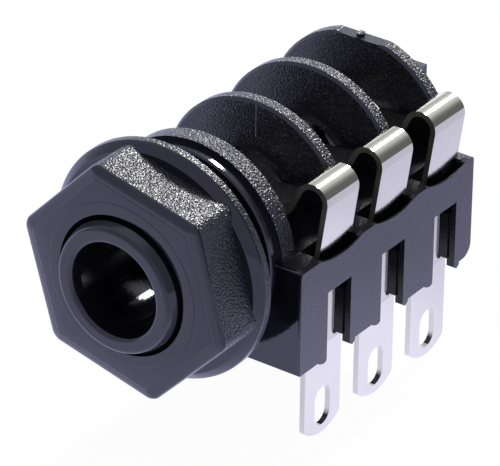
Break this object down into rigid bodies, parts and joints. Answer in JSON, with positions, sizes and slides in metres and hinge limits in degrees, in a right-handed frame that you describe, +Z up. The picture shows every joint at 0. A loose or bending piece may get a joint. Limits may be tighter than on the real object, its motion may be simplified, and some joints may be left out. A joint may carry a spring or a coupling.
{
  "type": "quarter-inch stereo jack socket",
  "caption": "Panel-mounting socket for a quarter-inch stereo plug, with a finned body, a hexagonal fixing nut and folded spring contacts with solder lugs.",
  "frame": {"origin": "on the plug's axis, in the plane of the shoulder face that seats on the back of the panel", "axes": "-Y points out of the mouth along the plug's axis, +X towards the solder lugs, +Z up, away from them"},
  "size_m": [0.0178, 0.0301, 0.0228],
  "materials": {
    "housing_plastic": "fine moulded grain, smooth on the shoulder and nose",
    "nut_plastic": "smooth front face, fine moulded grain on the flats",
    "contact_metal": "bright plated strip with fine rolling lines"
  },
  "bodies": {
    "root": {"housing": "housing_plastic", "fixing_nut": "nut_plastic", "sleeve_contact": "contact_metal", "ring_contact": "contact_metal", "tip_contact": "contact_metal"}
  },
  "joints": []
}
